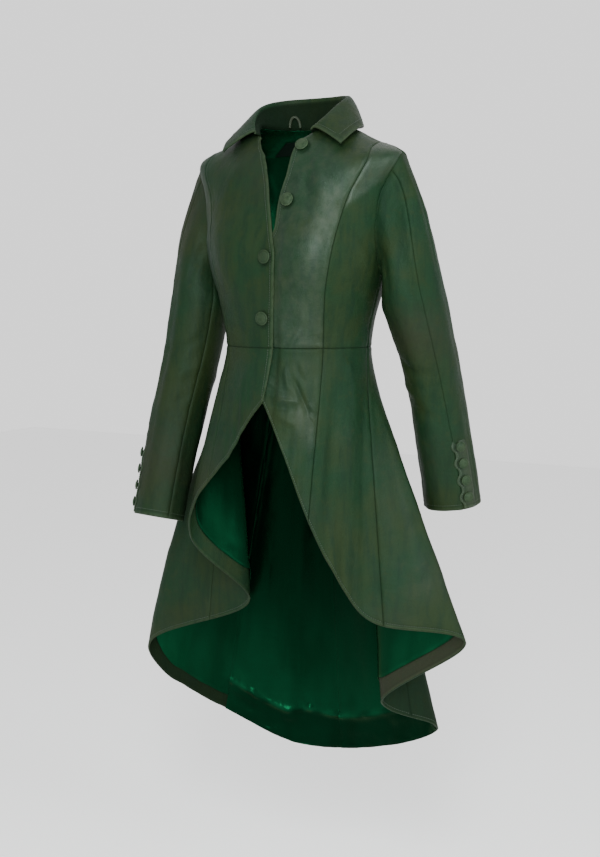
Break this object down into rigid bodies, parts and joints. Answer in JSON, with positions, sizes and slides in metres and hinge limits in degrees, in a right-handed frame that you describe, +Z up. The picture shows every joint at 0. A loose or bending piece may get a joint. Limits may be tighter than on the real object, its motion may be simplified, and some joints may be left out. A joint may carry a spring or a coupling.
{
  "type": "leather coat",
  "caption": "Fitted riding-style leather coat with collar, button front and a flared skirt whose hem sweeps from high front to long back; satin lined, shown filled out and hollow.",
  "frame": {"origin": "on the coat's middle line at the level of the neck, where the wearer's neck and shoulders hold it", "axes": "+Z up, the front faces -Y, the wearer's left is +X"},
  "size_m": [0.6433, 0.3011, 1.2073],
  "materials": {
    "leather": "satin",
    "satin": "gloss",
    "label": "matte"
  },
  "bodies": {
    "root": {"bodice_back_left": "leather", "bodice_back_right": "leather", "bodice_front_left": "leather", "bodice_front_right": "leather", "bodice_side_back_left": "leather", "bodice_side_back_right": "leather", "bodice_side_front_left": "leather", "bodice_side_front_right": "leather", "collar_fall": "leather", "collar_stand": "leather", "cuff_button_left_1": "leather", "cuff_button_left_2": "leather", "cuff_button_left_3": "leather", "cuff_button_left_4": "leather", "cuff_button_right_1": "leather", "cuff_button_right_2": "leather", "cuff_button_right_3": "leather", "cuff_button_right_4": "leather", "facing_front_left": "leather", "facing_front_right": "leather", "facing_side_left": "leather", "facing_side_right": "leather", "front_button_1": "leather", "front_button_2": "leather", "front_button_3": "leather", "front_button_4": "leather", "hanger_loop": "leather", "lining_back_left": "satin", "lining_back_right": "satin", "lining_bodice_back_left": "satin", "lining_bodice_back_right": "satin", "lining_bodice_side_back_left": "satin", "lining_bodice_side_back_right": "satin", "lining_front_left": "satin", "lining_front_right": "satin", "lining_side_left": "satin", "lining_side_right": "satin", "neck_label": "label", "skirt_back_left": "leather", "skirt_back_right": "leather", "skirt_front_left": "leather", "skirt_front_right": "leather", "skirt_side_back_left": "leather", "skirt_side_back_right": "leather", "skirt_side_front_left": "leather", "skirt_side_front_right": "leather", "sleeve_back_left": "leather", "sleeve_back_right": "leather", "sleeve_front_left": "leather", "sleeve_front_right": "leather", "vent_strip_left": "leather", "vent_strip_right": "leather"}
  },
  "joints": []
}
